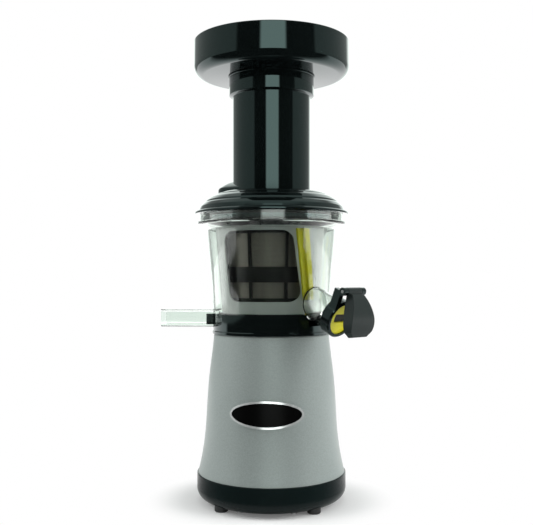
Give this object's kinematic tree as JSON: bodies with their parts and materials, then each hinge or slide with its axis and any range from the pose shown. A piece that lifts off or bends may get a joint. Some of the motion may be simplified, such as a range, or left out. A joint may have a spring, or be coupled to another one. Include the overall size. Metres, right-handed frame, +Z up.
{
  "type": "cold press juicer",
  "caption": "Vertical cold press juicer with a tapered silver base, clear juicing bowl with spout and flap, black domed lid, tall feed tube and round hopper.",
  "frame": {"origin": "on the auger's drive axis at the level of the rubber feet's undersides", "axes": "+Z up along the drive axis, -Y to the front with the oval badge, the juice spout towards -X"},
  "size_m": [0.1814, 0.1488, 0.3965],
  "materials": {
    "gloss_black": "glossy moulded black",
    "silver_shell": "satin metallic silver paint",
    "skirt_grey": "satin dark grey",
    "flap_grey": "satin dark grey",
    "clear": "clear moulded, polished",
    "light_grey": "satin light grey",
    "charcoal": "satin charcoal",
    "screen_steel": "fine perforated stainless",
    "yellow_silicone": "matte yellow silicone",
    "black_rubber": "matte black rubber",
    "chrome_trim": "mirror chrome",
    "steel": "turned steel",
    "aluminium": "cast, as machined",
    "copper": "enamelled copper wire",
    "bronze": "sintered bronze",
    "board_green": "lacquered board",
    "gear_white": "natural nylon"
  },
  "bodies": {
    "base": {"rubber_feet": "black_rubber", "base_skirt": "skirt_grey", "bottom_plate": "skirt_grey", "bottom_screws": "steel", "motor_housing": "silver_shell", "badge_bezel": "chrome_trim", "badge_plate": "gloss_black", "switch_bezel": "gloss_black", "cord_inlet": "black_rubber", "drive_collar": "charcoal", "motor_mounts": "black_rubber", "motor_bracket": "aluminium", "motor_bushings": "bronze", "motor_stator": "steel", "stator_windings": "copper", "gearbox_case": "aluminium", "gearbox_cover": "aluminium", "gearbox_screws": "steel", "counter_pin": "steel", "drive_bushings": "bronze", "control_board": "board_green", "run_capacitor": "charcoal", "bowl_base": "gloss_black", "shaft_seal": "yellow_silicone", "juicing_bowl": "clear", "juice_spout": "clear", "pulp_outlet": "clear", "pulp_collar": "gloss_black", "pulp_seal": "yellow_silicone", "flap_pin": "steel", "screen_mesh": "screen_steel", "screen_frame": "charcoal", "idler_pins": "steel"},
    "auger": {"drive_shaft": "steel", "output_gear": "steel", "auger": "charcoal", "auger_gear": "gear_white"},
    "countershaft": {"counter_gear": "steel"},
    "rotor": {"motor_shaft": "steel", "motor_rotor": "steel", "motor_fan": "charcoal"},
    "idler_a": {"idler_gear_a": "gear_white"},
    "idler_b": {"idler_gear_b": "gear_white"},
    "brush": {"brush_frame": "light_grey", "wiper_blades": "yellow_silicone"},
    "lid": {"lid": "gloss_black", "lid_gasket": "black_rubber", "feed_tube": "gloss_black"},
    "hopper": {"hopper": "gloss_black"},
    "flap": {"pulp_flap": "flap_grey"},
    "switch": {"rocker_switch": "gloss_black"}
  },
  "joints": [
    {"name": "auger_spin", "type": "hinge", "parent": "base", "child": "auger", "pos_m": [0, 0, 0.1442], "axis": [0, 0, 1], "continuous": true},
    {"name": "countershaft_spin", "type": "hinge", "parent": "base", "child": "countershaft", "pos_m": [0, 0.024, 0.0915], "axis": [0, 0, 1], "continuous": true},
    {"name": "rotor_spin", "type": "hinge", "parent": "base", "child": "rotor", "pos_m": [0, 0, 0.0375], "axis": [0, 0, 1], "continuous": true},
    {"name": "idler_a_spin", "type": "hinge", "parent": "base", "child": "idler_a", "pos_m": [0.00317, 0.01924, 0.167], "axis": [0, 0, 1], "continuous": true},
    {"name": "idler_b_spin", "type": "hinge", "parent": "base", "child": "idler_b", "pos_m": [-0.01851, -0.00614, 0.167], "axis": [0, 0, 1], "continuous": true},
    {"name": "brush_spin", "type": "hinge", "parent": "base", "child": "brush", "pos_m": [0, 0, 0.167], "axis": [0, 0, 1], "continuous": true},
    {"name": "lid_turn", "type": "hinge", "parent": "base", "child": "lid", "pos_m": [0, 0, 0.2467], "axis": [0, 0, 1], "range_deg": [0, 22.5]},
    {"name": "hopper_lift", "type": "slide", "parent": "lid", "child": "hopper", "axis": [0, 0, 1], "range_m": [0, 0.05]},
    {"name": "flap_swing", "type": "hinge", "parent": "base", "child": "flap", "pos_m": [0.06922, -0.05912, 0.18081], "axis": [-0.6494, -0.7604, 0], "range_deg": [-28, 45]},
    {"name": "switch_rock", "type": "hinge", "parent": "base", "child": "switch", "pos_m": [0, 0.05689, 0.06146], "axis": [1, 0, 0], "range_deg": [-12, 12]}
  ],
  "couplings": [
    {"joint": "countershaft_spin", "follows": "auger_spin", "ratio": -4.4545},
    {"joint": "rotor_spin", "follows": "auger_spin", "ratio": 19.843},
    {"joint": "idler_a_spin", "follows": "auger_spin", "ratio": -1.1667},
    {"joint": "idler_b_spin", "follows": "auger_spin", "ratio": -1.1667},
    {"joint": "brush_spin", "follows": "auger_spin", "ratio": -0.36842}
  ]
}
